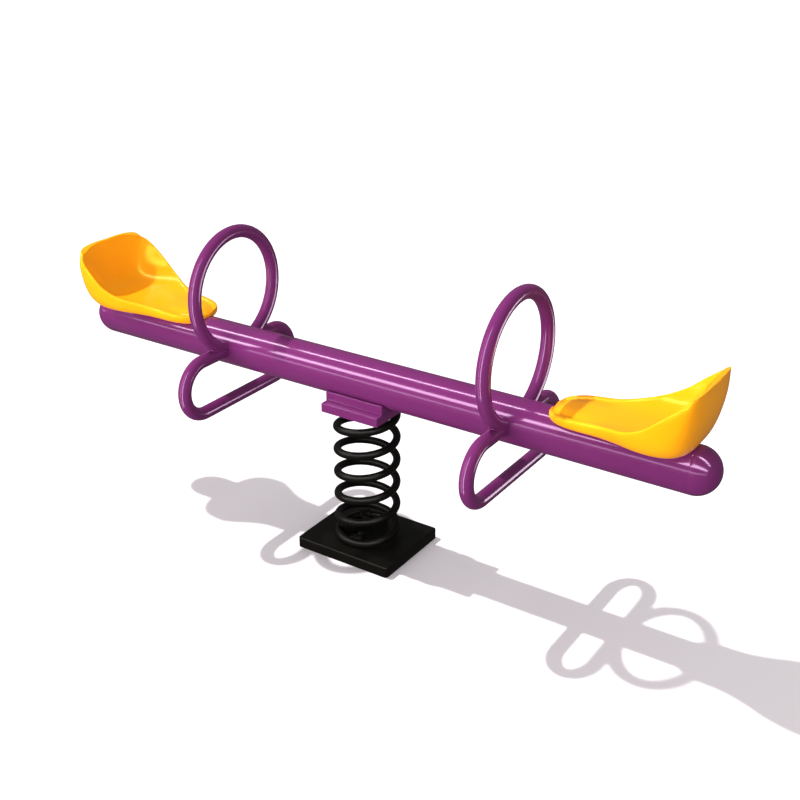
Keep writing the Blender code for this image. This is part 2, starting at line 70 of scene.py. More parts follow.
FIRST_RISE_ANGLE = 303.0
CLAW_ANGLES = {"lower": (130.0, 205.0, 280.0), "upper": (76.0, 128.0, 180.0)}
CLAW_SPAN = 24.0
CLAW_INNER_RADIUS = 0.036
CLAW_HEIGHT = 0.022
CLAW_LIP_HEIGHT = 0.034
CLAW_LIP_START_RADIUS = 0.0775
CLAW_SHOULDER_RADIUS = 0.066
CLAW_CLEARANCE = 0.0018
CLAW_GRIP = (230.0, 85.0)
BASE_CORNER_RADIUS = 0.012
BASE_EDGE_RADIUS = 0.004
BASE_WALL = 0.004
BRACKET_CORNER_RADIUS = 0.003
BRACKET_EDGE_RADIUS = 0.0015
RAIL_INNER = 0.022
TUBE_END_REACH = 0.042
GAP = 0.0003

# Seats, as in part.py: (u, reach, half width, height, wall) along the rim, (u, reach, height)
# elsewhere. u runs from the nose to the top of the back.
SEAT_RIM = ((0.00, 0.649, 0.036, 0.664, 0.024), (0.06, 0.658, 0.064, 0.667, 0.028),
            (0.13, 0.684, 0.086, 0.670, 0.030), (0.22, 0.720, 0.098, 0.673, 0.030),
            (0.40, 0.795, 0.104, 0.680, 0.026), (0.52, 0.852, 0.121, 0.690, 0.020),
            (0.64, 0.910, 0.147, 0.705, 0.015), (0.75, 0.965, 0.163, 0.733, 0.012),
            (0.86, 1.015, 0.165, 0.775, 0.012), (0.95, 1.055, 0.156, 0.813, 0.012),
            (1.00, 1.071, 0.137, 0.830, 0.012))
SEAT_FLOOR = ((0.00, 0.654, 0.670), (0.10, 0.680, 0.681), (0.25, 0.735, 0.683),
              (0.45, 0.840, 0.679), (0.62, 0.930, 0.677), (0.75, 1.000, 0.685),
              (0.85, 1.045, 0.713), (0.93, 1.069, 0.776), (1.00, 1.083, 0.849))
SEAT_HULL = ((0.00, 0.649, 0.646), (0.06, 0.660, 0.639), (0.15, 0.700, 0.635),
             (0.62, 0.930, 0.635), (0.78, 1.030, 0.640), (0.86, 1.073, 0.671),
             (0.93, 1.094, 0.750), (1.00, 1.098, 0.849))
SEAT_RIM_ROLL = 0.006
SEAT_FLOOR_POWER = 3.2
SEAT_HULL_POWER = 2.8
SEAT_TOP_ROUNDING = 0.003
SEAT_POCKET_MARGIN = 0.0015
SLOPE_STEP = 0.01

# Finer shape of the seats: where the rim's crest lies across the wall, from which u its roll fades
# and to what share, and how deep the nose's dome is.
SEAT_RIM_CREST = 0.55
SEAT_ROLL_FADE_START = 0.84
SEAT_ROLL_END = 0.25
SEAT_NOSE_DEPTH = 0.0065

# Fineness of the visible surfaces.
BEAM_SIDES = 144
CAP_STEPS = 32
TUBE_SIDES = 48
RING_STEPS = 180
FOOT_BEND_STEPS = 40
WIRE_SIDES = 24
COIL_STEPS_PER_TURN = 72
SEAT_STATIONS = 110
SEAT_FLOOR_STEPS = 22
SEAT_RIM_STEPS = 16
SEAT_HULL_STEPS = 26
SEAT_NOSE_STEPS = 8
SEAT_TOP_STEPS = 4
CLAW_STEPS = 12
ARC_STEPS = 24
CORNER_STEPS = 8
EDGE_STEPS = 5
SMALLEST_CORNER = 0.0005
CROSSING_STEPS = 60
CROSSING_HALVINGS = 30
RING_WELD_SEARCH_END = 75.0
SMOOTH_ANGLE = 35.0
CURVED_SMOOTH_ANGLE = 50.0
BEVEL_SEGMENTS = 3
BEVEL_LIMIT = 30.0

# Small detail.
SEAM_HALF_WIDTH = 0.0012
SEAM_SETBACK = 0.0018
SEAM_DEPTH = 0.0005
BEAD_RADIUS = 0.0024
BEAD_SIDES = 10
BEAD_RIPPLE_PITCH = 0.0042
BEAD_RIPPLE = 0.12
BEAD_STEPS_PER_RIPPLE = 6
BEAD_SMOOTH_ANGLE = 80.0
RAIL_EDGE_RADIUS = 0.0016
CLAW_EDGE_RADIUS = 0.0012
WIRE_END_CHAMFER = 0.002

# The height where the spring is cut, and a height on either side of it.
SPRING_CUT_HEIGHT = 0.180
SPRING_BLEND_START = 0.075
SPRING_BLEND_END = 0.455

# Camera fitted to the photograph's perspective.
CAMERA_PLACE = Vector((1.93753, -2.76500, 2.07611))
CAMERA_YAW = 33.25
CAMERA_PITCH = 24.82
CAMERA_ROLL = 0.22
CAMERA_SENSOR = 36.0
CAMERA_LENS = 53.535

# Light. Strips are (name, elevation, width, radiance), panels (name, place, length, width, radiance),
# and the sky's levels go with places from straight down to straight up.
SUN_PLACE = (-3.0, 0.0, 5.0)
SUN_ELEVATION = 56.5
SUN_STRENGTH = 3.6
SUN_ANGLE = 1.2
SKY_LEVELS = ((0.0, 0.49), (0.46, 0.63), (0.54, 0.81), (1.0, 0.85))
GLOSS_SKY_STRENGTH = 0.15
FILL_PLACE = (-1.0, -6.0, 1.2)
FILL_SIZE = (6.0, 2.4)
FILL_RADIANCE = 11.5
STRIP_REACH = 8.0
STRIP_LENGTH = 32.0
STRIPS_ALONG_BEAM = (("strip_top", 87.0, 0.70, 25.0), ("strip_middle", 41.0, 1.75, 14.0),
                     ("strip_low", 11.5, 0.90, 4.2))
RING_PANELS = (("panel_front", (-0.518, -4.2, 1.9), 12.0, 0.8, 11.0),
               ("panel_side", (-2.05, -2.5, 0.5), 6.6, 0.4, 5.0),
               ("panel_back", (3.2, 2.24, -0.05), 1.4, 2.1, 7.5))
FLOOR_SIZE = 240.0
FLOOR_DROP = 0.0005


# Outlines ------------------------------------------------------------------------------------


def polar(radius, degrees):
    angle = math.radians(degrees)
    return radius * math.cos(angle), radius * math.sin(angle)


def circle(radius, sides):
    return [polar(radius, 360.0 * index / sides) for index in range(sides)]


def arc(centre, radius, start, end, steps):
    points = []
    for step in range(steps + 1):
        a, b = polar(radius, start + (end - start) * step / steps)
        points.append((centre[0] + a, centre[1] + b))
    return points


def rounded_rectangle(length, width, radius):
    """Outline of a rectangle with round corners, anticlockwise."""
    points = []
    for quarter, (side_x, side_y) in enumerate(((1, 1), (-1, 1), (-1, -1), (1, -1))):
        centre = (side_x * (length / 2 - radius), side_y * (width / 2 - radius))
        points += arc(centre, radius, 90.0 * quarter, 90.0 * (quarter + 1), CORNER_STEPS)
    return points


def ease(t):
    """Rise from 0 to 1 that starts and ends level."""
    return 3 * t ** 2 - 2 * t ** 3


def spline(knots, u):
    """Smooth value at u through knots (u, a, b, ...), with finite-difference slopes."""
    last = len(knots) - 1

    def slope(index):
        low, high = max(index - 1, 0), min(index + 1, last)
        run = knots[high][0] - knots[low][0]
        return [(b - a) / run for a, b in zip(knots[low][1:], knots[high][1:])]

    index = max(i for i in range(last) if knots[i][0] <= u or i == 0)
    start, end = knots[index], knots[index + 1]
    span = end[0] - start[0]
    t = (u - start[0]) / span
    weights = (2 * t ** 3 - 3 * t ** 2 + 1, (t ** 3 - 2 * t ** 2 + t) * span,
               3 * t ** 2 - 2 * t ** 3, (t ** 3 - t ** 2) * span)
    parts = zip(start[1:], slope(index), end[1:], slope(index + 1))
    return [sum(weight * value for weight, value in zip(weights, part)) for part in parts]


# Meshes and pieces ---------------------------------------------------------------------------


def loft(rings, looped=False):
    """Skin closed rings of equally many points. A ring of one point closes an end in a fan."""
    mesh_edit = bmesh.new()
    grid = [[mesh_edit.verts.new(point) for point in ring] for ring in rings]
    pairs = list(zip(grid, grid[1:]))
    if looped:
        pairs.append((grid[-1], grid[0]))
    else:
        for ring in (grid[0], grid[-1]):
            if len(ring) > 1:
                mesh_edit.faces.new(ring)
    for ring, after in pairs:
        count = max(len(ring), len(after))
        for index in range(count):
            following = (index + 1) % count
            corners = (ring[index % len(ring)], ring[following % len(ring)],
                       after[following % len(after)], after[index % len(after)])
            mesh_edit.faces.new(list(dict.fromkeys(corners)))
    return mesh_edit


def new_object(name, mesh_edit, material, smooth_angle=SMOOTH_ANGLE):
    bmesh.ops.recalc_face_normals(mesh_edit, faces=mesh_edit.faces)
    mesh = bpy.data.meshes.new(name)
    mesh_edit.to_mesh(mesh)
    mesh_edit.free()
    mesh.shade_smooth()
    mesh.set_sharp_from_angle(angle=math.radians(smooth_angle))
    if material:
        mesh.materials.append(material)
    item = bpy.data.objects.new(name, mesh)
    bpy.context.scene.collection.objects.link(item)
    return item


def apply_modifiers(item, smooth_angle=SMOOTH_ANGLE):
    """Make the modified mesh the object's own."""
    graph = bpy.context.evaluated_depsgraph_get()
    mesh = bpy.data.meshes.new_from_object(item.evaluated_get(graph))
    item.modifiers.clear()
    item.data = mesh
    mesh.shade_smooth()
    mesh.set_sharp_from_angle(angle=math.radians(smooth_angle))


def bevel(item, width):
    modifier = item.modifiers.new("bevel", "BEVEL")
    modifier.width = width
    modifier.segments = BEVEL_SEGMENTS
    modifier.limit_method = "ANGLE"
    modifier.angle_limit = math.radians(BEVEL_LIMIT)
    apply_modifiers(item)


def cut(item, cutters, smooth_angle):
    for cutter in cutters:
        modifier = item.modifiers.new(cutter.name, "BOOLEAN")
        modifier.operation = "DIFFERENCE"
        modifier.solver = "EXACT"
        modifier.object = cutter
    apply_modifiers(item, smooth_angle)


def finished(item, body, finish, *nodes):
    """The object rides on a body, and the CAD nodes that it stands for are hidden. finish is not used.
    """
    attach(item, body)
    if nodes:
        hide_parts(*nodes)
    return item


# Materials -----------------------------------------------------------------------------------


def link_noise(tree, vector, scale, detail=2.0, roughness=0.5):
    noise = tree.nodes.new("ShaderNodeTexNoise")
    noise.inputs["Scale"].default_value = scale
    noise.inputs["Detail"].default_value = detail
    noise.inputs["Roughness"].default_value = roughness
    tree.links.new(vector, noise.inputs["Vector"])
    return noise.outputs["Fac"]


def link_range(tree, value, low, high, start=0.3, end=0.7):
    mapped = tree.nodes.new("ShaderNodeMapRange")
    mapped.inputs["From Min"].default_value = start
    mapped.inputs["From Max"].default_value = end
    mapped.inputs["To Min"].default_value = low
    mapped.inputs["To Max"].default_value = high
    tree.links.new(value, mapped.inputs["Value"])
    return mapped.outputs["Result"]


def link_mix(tree, factor, first, second):
    mixed = tree.nodes.new("ShaderNodeMix")
    mixed.data_type = "RGBA"
    tree.links.new(factor, mixed.inputs[0])
    for socket, colour in ((mixed.inputs[6], first), (mixed.inputs[7], second)):
        if isinstance(colour, tuple):
            socket.default_value = (*colour, 1.0)
        else:
            tree.links.new(colour, socket)
    return mixed.outputs[2]


def link_bump(tree, height, strength, distance, normal=None):
    bump = tree.nodes.new("ShaderNodeBump")
    bump.inputs["Strength"].default_value = strength
    bump.inputs["Distance"].default_value = distance
    tree.links.new(height, bump.inputs["Height"])
    if normal:
        tree.links.new(normal, bump.inputs["Normal"])
    return bump.outputs["Normal"]


def make_material(name, tones, cloud_scale, roughness, grain, uniform):
    """Finish with cloudy colour and roughness, and a bump in two scales.

    tones are the two colours that it varies between, roughness its lowest and highest value,
    grain a list of (scale, strength, distance) and uniform the shader sockets set directly.
    """
    material = bpy.data.materials.new(name)
    material.use_nodes = True
    tree = material.node_tree
    shader = tree.nodes["Principled BSDF"]
    for socket, value in uniform.items():
        shader.inputs[socket].default_value = value
    vector = tree.nodes.new("ShaderNodeTexCoord").outputs["Object"]
    clouds = link_noise(tree, vector, cloud_scale, 4.0, 0.55)
    tree.links.new(link_mix(tree, link_range(tree, clouds, 0.0, 1.0), *tones),
                   shader.inputs["Base Color"])
    smudges = link_noise(tree, vector, cloud_scale * 6.0, 3.0, 0.6)
    tree.links.new(link_range(tree, smudges, *roughness), shader.inputs["Roughness"])
    normal = None
    for scale, strength, distance in grain:
        normal = link_bump(tree, link_noise(tree, vector, scale), strength, distance, normal)
    tree.links.new(normal, shader.inputs["Normal"])
    return material


def make_materials():
    """One finish for each of the record's material slots."""
    return {
        "purple_powder_coat": make_material(
            "purple_powder_coat", ((0.131, 0.0178, 0.100), (0.142, 0.0206, 0.110)), 5.0,
            (0.11, 0.16), ((700.0, 0.25, 0.00004), (60.0, 0.12, 0.00030)),
            {"Metallic": 0.0, "Specular IOR Level": 0.55, "Specular Tint": (1.0, 0.62, 1.0, 1.0),
             "Coat Weight": 0.10, "Coat Roughness": 0.08}),
        "yellow_plastic": make_material(
            "yellow_plastic", ((0.985, 0.350, 0.005), (1.0, 0.380, 0.007)), 7.0, (0.17, 0.23),
            ((420.0, 0.08, 0.00003), (26.0, 0.10, 0.00040)),
            {"Specular IOR Level": 0.45, "Specular Tint": (1.0, 0.78, 0.10, 1.0)}),
        "black_powder_coat": make_material(
            "black_powder_coat", ((0.0028, 0.0023, 0.0016), (0.0042, 0.0034, 0.0024)), 12.0,
            (0.30, 0.42), ((900.0, 0.35, 0.00005), (90.0, 0.15, 0.00030)),
            {"Specular IOR Level": 0.14}),
        "zinc_plated_steel": make_material(
            "zinc_plated_steel", ((0.52, 0.52, 0.50), (0.66, 0.65, 0.62)), 45.0, (0.28, 0.42),
            ((1500.0, 0.25, 0.00002), (160.0, 0.12, 0.00010)), {"Metallic": 1.0}),
        "galvanised_steel": make_material(
            "galvanised_steel", ((0.36, 0.37, 0.38), (0.52, 0.53, 0.54)), 70.0, (0.38, 0.55),
            ((600.0, 0.25, 0.00004), (110.0, 0.15, 0.00015)), {"Metallic": 1.0}),
    }


def make_floor_material():
    return make_material(
        "floor", ((0.840, 0.792, 0.826), (0.860, 0.811, 0.845)), 0.8, (0.85, 0.95),
        ((120.0, 0.10, 0.0002), (8.0, 0.05, 0.001)), {"Specular IOR Level": 0.0})


MATERIALS = make_materials()
PURPLE = "purple_powder_coat"
YELLOW = "yellow_plastic"
BLACK = "black_powder_coat"


# Beam ----------------------------------------------------------------------------------------


def measure_beam():
    """Radius, axis height and half length of the beam, caps included."""
    low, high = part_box("beam_tube")
    cap_low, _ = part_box("beam_cap_left")
    return (high.y - low.y) / 2, (high.z + low.z) / 2, -cap_low.x


BEAM_RADIUS, AXIS_HEIGHT, BEAM_HALF_LENGTH = measure_beam()
BEAM_END_CENTRE = BEAM_HALF_LENGTH - BEAM_RADIUS


def beam_outline():
    """(x, radius) along one half of the beam, from the tip to the seam where the cap is welded on."""
    outline = []
    for step in range(CAP_STEPS + 1):
        reach, radius = polar(BEAM_RADIUS, 90.0 * step / CAP_STEPS)
        outline.append((BEAM_END_CENTRE + reach, radius))
    seam = []
    for share in (-1.0, -0.5, 0.0, 0.5, 1.0):
        depth = SEAM_DEPTH * math.cos(math.radians(90.0 * share)) ** 2
        seam.append((BEAM_END_CENTRE - SEAM_SETBACK - SEAM_HALF_WIDTH * share, BEAM_RADIUS - depth))
    return outline + seam


def beam_ring(x, radius):
    if radius < GAP:
        return [(x, 0.0, AXIS_HEIGHT)]
    return [(x, y, AXIS_HEIGHT + z) for y, z in circle(radius, BEAM_SIDES)]


def make_beam():
    right = beam_outline()
    left = [(-x, radius) for x, radius in reversed(right)]
    mesh_edit = loft([beam_ring(x, radius) for x, radius in right + left])
    item = new_object("beam_skin", mesh_edit, MATERIALS[PURPLE])
    finished(item, "beam", PURPLE, "beam_tube", "beam_cap_left", "beam_cap_right")


# Weld beads ----------------------------------------------------------------------------------


def resampled(points, spacing):
    """Points set evenly along the closed line through the given ones."""
    line = points + points[:1]
    lengths = [0.0]
    for a, b in zip(line, line[1:]):
        lengths.append(lengths[-1] + (b - a).length)
    count = round(lengths[-1] / spacing)
    made = []
    index = 0
    for step in range(count):
        along = lengths[-1] * step / count
        while index < len(line) - 2 and lengths[index + 1] < along:
            index += 1
        share = (along - lengths[index]) / (lengths[index + 1] - lengths[index])
        made.append(line[index].lerp(line[index + 1], share))
    return made


def make_bead(name, points):
    """Rippled weld bead on the beam, round a closed line of points."""
    line = resampled(points, BEAD_RIPPLE_PITCH / BEAD_STEPS_PER_RIPPLE)
    side = None
    rings = []
    for index, point in enumerate(line):
        along = (line[(index + 1) % len(line)] - line[index - 1]).normalized()
        side = along.orthogonal() if side is None else side - along * side.dot(along)
        side.normalize()
        up = along.cross(side)
        radius = BEAD_RADIUS * (1.0 + BEAD_RIPPLE * math.cos(math.tau * index / BEAD_STEPS_PER_RIPPLE))
        rings.append([point + (side * a + up * b) * radius for a, b in circle(1.0, BEAD_SIDES)])
    bead = new_object(name, loft(rings, looped=True), MATERIALS[PURPLE], BEAD_SMOOTH_ANGLE)
    finished(bead, "beam", PURPLE)


# Handle rings and footrests ------------------------------------------------------------------


def tube_rings(x, path, radius):
    """Round sections along a path of (y, z) points in the upright plane at x."""
    sideways = Vector((1.0, 0.0, 0.0))
    rings = []
    for index, (y, z) in enumerate(path):
        before, after = path[max(index - 1, 0)], path[min(index + 1, len(path) - 1)]
        along = Vector((0.0, after[0] - before[0], after[1] - before[1])).normalized()
        across = sideways.cross(along)
        centre = Vector((x, y, z))
        rings.append([centre + sideways * a + across * b for a, b in circle(radius, TUBE_SIDES)])
    return rings


def off_beam(point):
    """How far a point stands off the beam's surface."""
    return math.hypot(point.y, point.z - AXIS_HEIGHT) - BEAM_RADIUS


def last_crossing(line, gap, start, end):
    """Where line(s), for s from start to end, last leaves the solid that gap measures from."""
    inside, outside = start, end
    for step in range(CROSSING_STEPS, -1, -1):
        s = start + (end - start) * step / CROSSING_STEPS
        if gap(line(s)) < 0.0:
            inside = s
            break
        outside = s
    for _ in range(CROSSING_HALVINGS):
        middle = (inside + outside) / 2
        if gap(line(middle)) < 0.0:
            inside = middle
        else:
            outside = middle
    return line(outside)


def make_frame(word):
    """One handle ring and the footrest under it, with the beads that join them to the beam."""
    ring_low, ring_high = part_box(f"handle_ring_{word}")
    foot_low, foot_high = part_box(f"footrest_{word}")
    x = (ring_low.x + ring_high.x) / 2
    tube = (ring_high.x - ring_low.x) / 2
    ring_radius = (ring_high.z - AXIS_HEIGHT - tube) / 2
    foot_drop = AXIS_HEIGHT - tube - foot_low.z
    bend = foot_drop / 2
    bend_centre = foot_high.y - tube - bend

    inside = math.degrees(math.asin(TUBE_END_REACH / ring_radius))
    ring_path = arc((0.0, AXIS_HEIGHT + ring_radius), ring_radius, inside - 90.0, 270.0 - inside,
                    RING_STEPS)
    ring = new_object(f"ring_skin_{word}", loft(tube_rings(x, ring_path, tube)), MATERIALS[PURPLE])
    finished(ring, "beam", PURPLE, f"handle_ring_{word}")

    foot_path = [(TUBE_END_REACH, AXIS_HEIGHT)]
    foot_path += arc((bend_centre, AXIS_HEIGHT - bend), bend, 90.0, -90.0, FOOT_BEND_STEPS)
    foot_path += arc((-bend_centre, AXIS_HEIGHT - bend), bend, 270.0, 90.0, FOOT_BEND_STEPS)
    foot_path.append((-TUBE_END_REACH, AXIS_HEIGHT))
    foot = new_object(f"footrest_skin_{word}", loft(tube_rings(x, foot_path, tube)), MATERIALS[PURPLE])
    finished(foot, "beam", PURPLE, f"footrest_{word}")

    def off_beam_and_leg(point):
        off_leg = math.hypot(point.x - x, point.z - AXIS_HEIGHT) - tube
        return min(off_beam(point), off_leg)

    for side_word, side in (("near", -1), ("far", 1)):
        ring_bead = []
        leg_bead = []
        for a, b in circle(1.0, 2 * TUBE_SIDES):
            def on_ring(turn):
                outward = ring_radius + tube * b
                return Vector((x + tube * a, side * outward * math.sin(turn),
                               AXIS_HEIGHT + ring_radius - outward * math.cos(turn)))

            def on_leg(reach):
                return Vector((x + tube * a, side * reach, AXIS_HEIGHT + tube * b))

            ring_bead.append(last_crossing(on_ring, off_beam_and_leg, math.radians(inside),
                                           math.radians(RING_WELD_SEARCH_END)))
            leg_bead.append(last_crossing(on_leg, off_beam, TUBE_END_REACH, bend_centre))
        make_bead(f"ring_weld_{word}_{side_word}", ring_bead)
        make_bead(f"leg_weld_{word}_{side_word}", leg_bead)


# Bracket -------------------------------------------------------------------------------------


def rounded_levels(length, width, corner, edge, low, high):
    """Rings of an upright block whose top and bottom edges are rounded."""
    rings = []
    for step in range(2 * EDGE_STEPS + 2):
        upper = step > EDGE_STEPS
        angle = 90.0 * (step - upper) / EDGE_STEPS - 90.0
        reach, rise = polar(edge, angle)
        inset = edge - reach
        outline = rounded_rectangle(length - 2 * inset, width - 2 * inset,
                                    max(corner - inset, SMALLEST_CORNER))
        height = (high - edge if upper else low + edge) + rise
        rings.append([(x, y, height) for x, y in outline])
    return rings


def make_bracket():
    low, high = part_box("bracket_plate")
    size = high - low
    rings = rounded_levels(size.x, size.y, BRACKET_CORNER_RADIUS, BRACKET_EDGE_RADIUS, low.z, high.z)
    plate = new_object("bracket_plate_skin", loft(rings), MATERIALS[PURPLE])
    finished(plate, "beam", PURPLE, "bracket_plate")

    cradle = BEAM_RADIUS + GAP
    for word, side in (("near", -1), ("far", 1)):
        rail_low, rail_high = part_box(f"saddle_rail_{word}")
        half_width = max(abs(rail_low.y), abs(rail_high.y))
        inner_angle = math.degrees(math.asin(RAIL_INNER / cradle))
        outer_angle = math.degrees(math.acos((AXIS_HEIGHT - rail_high.z) / cradle))
        section = [(RAIL_INNER, rail_low.z), (half_width, rail_low.z), (half_width, rail_high.z)]
        section += arc((0.0, AXIS_HEIGHT), cradle, outer_angle - 90.0, inner_angle - 90.0, ARC_STEPS)
        rings = [[(x, side * y, z) for y, z in section] for x in (rail_low.x, rail_high.x)]
        rail = new_object(f"saddle_rail_skin_{word}", loft(rings), MATERIALS[PURPLE])
        bevel(rail, RAIL_EDGE_RADIUS)
        finished(rail, "beam", PURPLE, f"saddle_rail_{word}")


# Base, spring and claws ----------------------------------------------------------------------


def make_base():
    low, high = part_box("base_cover")
    size = high - low

    def pan_ring(inset, height):
        outline = rounded_rectangle(size.x - 2 * inset, size.y - 2 * inset,
                                    BASE_CORNER_RADIUS - inset)
        return [(x, y, height) for x, y in outline]

    outside = []
    for step in range(EDGE_STEPS + 2):
        angle = 90.0 - 90.0 * step / (EDGE_STEPS + 1)
        inset, drop = (BASE_EDGE_RADIUS - part for part in polar(BASE_EDGE_RADIUS, angle))
        outside.append(pan_ring(inset, high.z - drop))
    skirt = [pan_ring(0.0, low.z), pan_ring(BASE_WALL, low.z),
             pan_ring(BASE_WALL, high.z - BASE_WALL)]
    cover = new_object("base_cover_skin", loft(outside + skirt), MATERIALS[BLACK])
    finished(cover, "base", BLACK, "base_cover")


def spring_rings():
    """Round sections of the whole wire, and the height of each section's centre."""
    low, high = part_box("spring")
    lower_height = low.z + WIRE_RADIUS
    rise_end = (high.z - WIRE_RADIUS - lower_height) / COIL_PITCH * 360.0
    total = LOWER_DEAD_COIL_ANGLE + rise_end + UPPER_DEAD_COIL_ANGLE
    steps = round(total / 360.0 * COIL_STEPS_PER_TURN)
    slope = COIL_PITCH / (math.tau * COIL_RADIUS)
    chamfer_angle = math.degrees(WIRE_END_CHAMFER / COIL_RADIUS)
    angles = [total * step / steps - LOWER_DEAD_COIL_ANGLE for step in range(steps + 1)]
    angles[0:1] = [angles[0], angles[0] + chamfer_angle]
    angles[-1:] = [angles[-1] - chamfer_angle, angles[-1]]
    rings = []
    heights = []
    for angle in angles:
        risen = min(max(angle, 0.0), rise_end)
        turn = math.radians(angle + FIRST_RISE_ANGLE)
        outward = Vector((math.cos(turn), math.sin(turn), 0.0))
        along = Vector((-math.sin(turn), math.cos(turn), slope if 0.0 < angle < rise_end else 0.0))
        upward = outward.cross(along.normalized())
        centre = outward * COIL_RADIUS
        centre.z = lower_height + COIL_PITCH * risen / 360.0
        at_end = angle in (angles[0], angles[-1])
        radius = WIRE_RADIUS - (WIRE_END_CHAMFER if at_end else 0.0)
        rings.append([centre + outward * a + upward * b for a, b in circle(radius, WIRE_SIDES)])
        heights.append(centre.z)
    return rings, heights


def make_spring():
    """The wire in two pieces, because a piece bends across one joint only."""
    rings, heights = spring_rings()
    middle = next(index for index, height in enumerate(heights) if height >= SPRING_CUT_HEIGHT)
    parts = (("spring_lower", rings[:middle + 1], ("base", "spring"),
              (SPRING_BLEND_START, SPRING_CUT_HEIGHT)),
             ("spring_upper", rings[middle:], ("spring", "beam"),
              (SPRING_CUT_HEIGHT, SPRING_BLEND_END)))
    for name, sections, bodies, (start, end) in parts:
        item = new_object(name, loft(sections), MATERIALS[BLACK], CURVED_SMOOTH_ANGLE)
        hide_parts("spring")
        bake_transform(item)


def claw_outline():
    """Radius and height of a claw's section, standing on the face that carries it."""
    start, end = CLAW_GRIP
    grip = arc((COIL_RADIUS, WIRE_RADIUS + GAP), WIRE_RADIUS + CLAW_CLEARANCE, start, end, ARC_STEPS)
    foot = [(CLAW_INNER_RADIUS, GAP), (grip[0][0] - GAP, GAP)]
    lip = [(grip[-1][0], CLAW_LIP_HEIGHT), (CLAW_LIP_START_RADIUS, CLAW_LIP_HEIGHT)]
    shoulder = [(CLAW_SHOULDER_RADIUS, CLAW_HEIGHT), (CLAW_INNER_RADIUS, CLAW_HEIGHT)]
    return foot + grip + lip + shoulder


def make_claws():
    base_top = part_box("base_cover")[1].z
    bracket_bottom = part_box("bracket_plate")[0].z
    for level, body, face_height, upward in (("lower", "base", base_top, 1),
                                             ("upper", "beam", bracket_bottom, -1)):
        for number, middle_angle in enumerate(CLAW_ANGLES[level], 1):
            rings = []
            for step in range(CLAW_STEPS + 1):
                angle = middle_angle + CLAW_SPAN * (step / CLAW_STEPS - 0.5)
                rings.append([(*polar(radius, angle), face_height + upward * height)
                              for radius, height in claw_outline()])
            claw = new_object(f"{level}_claw_skin_{number}", loft(rings), MATERIALS[BLACK])
            bevel(claw, CLAW_EDGE_RADIUS)
            finished(claw, body, BLACK, f"{level}_claw_{number}")


# Seats ---------------------------------------------------------------------------------------


def rim_lift(share, roll, inner_slope):
    """How far the rim rises at a share of the way from the inner to the outer side of the wall."""
    if share < SEAT_RIM_CREST:
        t = share / SEAT_RIM_CREST
        return ease(t) * roll + (t ** 3 - 2 * t ** 2 + t) * inner_slope
    t = (share - SEAT_RIM_CREST) / (1.0 - SEAT_RIM_CREST)
    return roll * math.sqrt(1.0 - t ** 2)


def seat_section(u):
    """Closed section of a seat at station u, as points (reach, y, z) over floor, rim and hull."""
    rim_x, rim_y, rim_z, wall = spline(SEAT_RIM, u)
    floor_x, floor_z = spline(SEAT_FLOOR, u)
    hull_x, hull_z = spline(SEAT_HULL, u)
    ahead = spline(SEAT_RIM, min(u + SLOPE_STEP, 1.0))
    behind = spline(SEAT_RIM, max(u - SLOPE_STEP, 0.0))
    run = Vector((ahead[0] - behind[0], ahead[2] - behind[2])).normalized()
    inner_y = rim_y - wall
    faded = max(u - SEAT_ROLL_FADE_START, 0.0) / (1.0 - SEAT_ROLL_FADE_START)
    roll = SEAT_RIM_ROLL * (1.0 - (1.0 - SEAT_ROLL_END) * ease(faded))
    inner_slope = min(SEAT_FLOOR_POWER * (rim_z - floor_z) / inner_y * wall * SEAT_RIM_CREST,
                      2.0 * roll)
    half = []
    for step in range(SEAT_FLOOR_STEPS + 1):
        v = math.sin(math.radians(90.0 * step / SEAT_FLOOR_STEPS))
        rise = v ** SEAT_FLOOR_POWER
        half.append((floor_x + (rim_x - floor_x) * rise, v * inner_y,
                     floor_z + (rim_z - floor_z) * rise))
    for step in range(1, SEAT_RIM_STEPS):
        share = step / SEAT_RIM_STEPS
        lift = rim_lift(share, roll, inner_slope)
        half.append((rim_x - run.y * lift, inner_y + wall * share, rim_z + run.x * lift))
    for step in range(SEAT_HULL_STEPS + 1):
        angle = math.radians(90.0 * step / SEAT_HULL_STEPS)
        v = math.cos(angle) ** (2 / SEAT_HULL_POWER) if step < SEAT_HULL_STEPS else 0.0
        rise = 1.0 - math.sin(angle) ** (2 / SEAT_HULL_POWER)
        half.append((hull_x + (rim_x - hull_x) * rise, v * rim_y, hull_z + (rim_z - hull_z) * rise))
    other_half = [(x, -y, z) for x, y, z in reversed(half[1:-1])]
    return half + other_half


def middle_of(section):
    return sum((Vector(point) for point in section), Vector()) / len(section)


def domed_nose(section):
    """Rings that close the nose in a shallow dome, from its tip to the first section."""
    middle = middle_of(section)
    rings = [[middle - Vector((SEAT_NOSE_DEPTH, 0.0, 0.0))]]
    for step in range(1, SEAT_NOSE_STEPS):
        scale = math.sin(math.radians(90.0 * step / SEAT_NOSE_STEPS))
        offset = Vector((-SEAT_NOSE_DEPTH * (1.0 - scale ** 2), 0.0, 0.0))
        rings.append([middle + (Vector(point) - middle) * scale + offset for point in section])
    return rings


def rounded_top(section):
    """Rings that round off the top edge of the back."""
    middle = middle_of(section)
    rings = []
    for step in range(1, SEAT_TOP_STEPS + 1):
        inset, drop = polar(SEAT_TOP_ROUNDING, 90.0 - 90.0 * step / SEAT_TOP_STEPS)
        upward = Vector((0.0, 0.0, SEAT_TOP_ROUNDING - drop))
        ring = []
        for point in section:
            inward = middle - Vector(point)
            move = min(inset, inward.length / 2)
            ring.append(Vector(point) + inward.normalized() * move + upward)
        rings.append(ring)
    return rings


